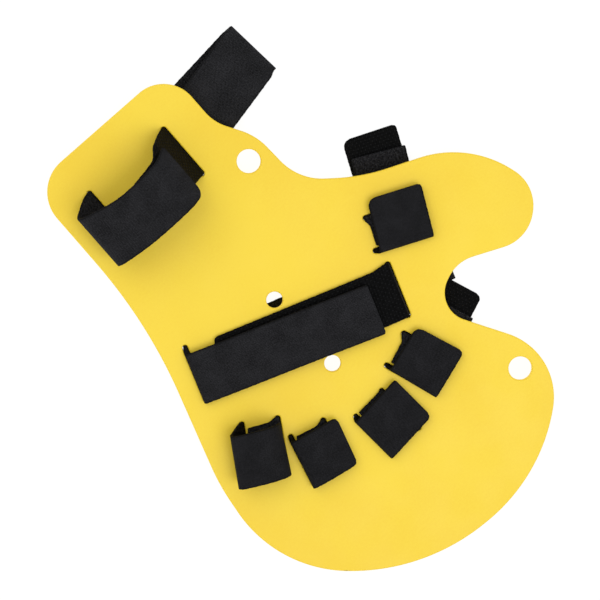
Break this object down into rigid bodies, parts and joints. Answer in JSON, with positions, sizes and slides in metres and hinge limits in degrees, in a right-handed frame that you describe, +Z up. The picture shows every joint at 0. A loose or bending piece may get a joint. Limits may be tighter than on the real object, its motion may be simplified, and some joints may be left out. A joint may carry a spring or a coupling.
{
  "type": "hand splint",
  "caption": "Flat mitten-shaped hand board with a wrist loop, a palm strap and finger and thumb straps of hook and loop webbing laced through slots.",
  "frame": {"origin": "under the middle of the whole splint, on the surface that it lies on", "axes": "+Z up from the board's hand face, +Y from the wrist end to the fingertips, +X towards the little finger"},
  "size_m": [0.2092, 0.2666, 0.0345],
  "materials": {
    "board": "smooth satin yellow sheet with softened edges",
    "webbing": "black woven hook and loop webbing"
  },
  "bodies": {
    "root": {"splint_plate": "board", "wrist_strap": "webbing", "palm_strap": "webbing", "thumb_hook_strap": "webbing", "thumb_loop_strap": "webbing", "index_hook_strap": "webbing", "index_loop_strap": "webbing", "middle_hook_strap": "webbing", "middle_loop_strap": "webbing", "ring_hook_strap": "webbing", "ring_loop_strap": "webbing", "little_hook_strap": "webbing", "little_loop_strap": "webbing"}
  },
  "joints": []
}
